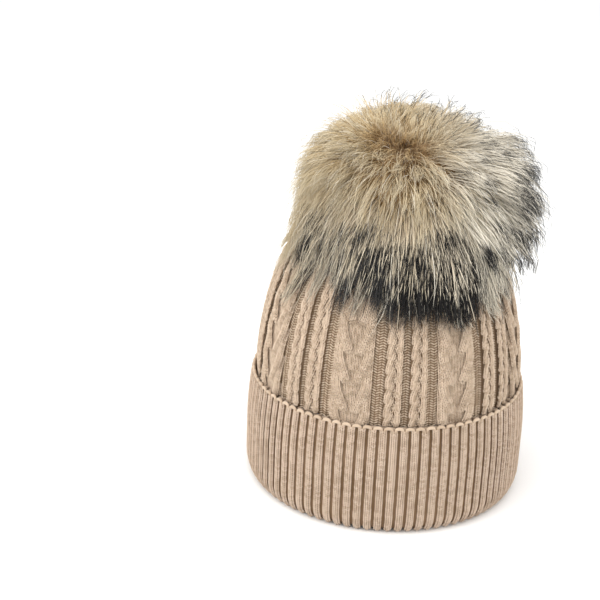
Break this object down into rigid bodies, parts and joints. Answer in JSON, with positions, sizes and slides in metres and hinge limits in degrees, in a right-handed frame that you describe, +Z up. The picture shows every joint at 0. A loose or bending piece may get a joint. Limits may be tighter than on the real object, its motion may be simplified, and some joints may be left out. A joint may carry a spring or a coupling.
{
  "type": "pom pom beanie",
  "caption": "Cable-knit beanie with a turned-up ribbed cuff and a long-haired fur pompom that turns and pulls off on a press stud.",
  "frame": {"origin": "centre of the fold that the hat stands on", "axes": "+Z up along the hat's axis, -Y the front, +Y the back seam"},
  "size_m": [0.17, 0.17, 0.24],
  "materials": {
    "rib_knit": "soft wool-blend rib knit, matt",
    "cast_on_edge": "soft wool-blend cast-on edge, matt",
    "cable_knit": "soft wool-blend cable knit, matt",
    "yarn": "plied wool-blend yarn, matt",
    "felt": "pressed felt, matt",
    "sewing_thread": "spun polyester thread, slight sheen",
    "stud_metal": "nickel-plated brass, satin",
    "spring_wire": "phosphor bronze wire, bright",
    "label_satin": "woven satin ribbon, slight sheen",
    "pelt_leather": "tanned suede flesh side, matt",
    "filling": "polyester fibre filling, matt",
    "underfur": "dense woolly underfur, matt",
    "guard_hair": "long natural guard hair, tan with cream and grey-black tips, glossy"
  },
  "bodies": {
    "cuff": {"turned_cuff": "rib_knit", "cuff_edge": "cast_on_edge", "cuff_seam": "rib_knit"},
    "hat": {"rib_band": "rib_knit", "band_seam": "rib_knit", "crown_knit": "cable_knit", "crown_seam": "cable_knit", "gather_yarn": "yarn", "gather_knot": "yarn", "backing_patch": "felt", "patch_stitches": "sewing_thread", "snap_socket": "stud_metal", "socket_stitches": "sewing_thread", "care_label": "label_satin", "label_stitches": "sewing_thread"},
    "spring_ring": {"snap_spring": "spring_wire"},
    "pompom": {"snap_stud": "stud_metal", "stud_stitches": "sewing_thread", "pompom_backing": "felt", "draw_thread": "sewing_thread", "fur_pelt": "pelt_leather", "pompom_filling": "filling", "underfur": "underfur", "guard_hair": "guard_hair"}
  },
  "joints": [
    {"name": "cuff_unroll", "type": "slide", "parent": "cuff", "child": "hat", "axis": [0, 0, 1], "range_m": [0, 0.056]},
    {"name": "pompom_turn", "type": "hinge", "parent": "hat", "child": "spring_ring", "pos_m": [0, 0, 0.174], "axis": [0, 0, 1], "continuous": true},
    {"name": "pompom_pull", "type": "slide", "parent": "spring_ring", "child": "pompom", "axis": [0, 0, 1], "range_m": [0, 0.06]}
  ]
}
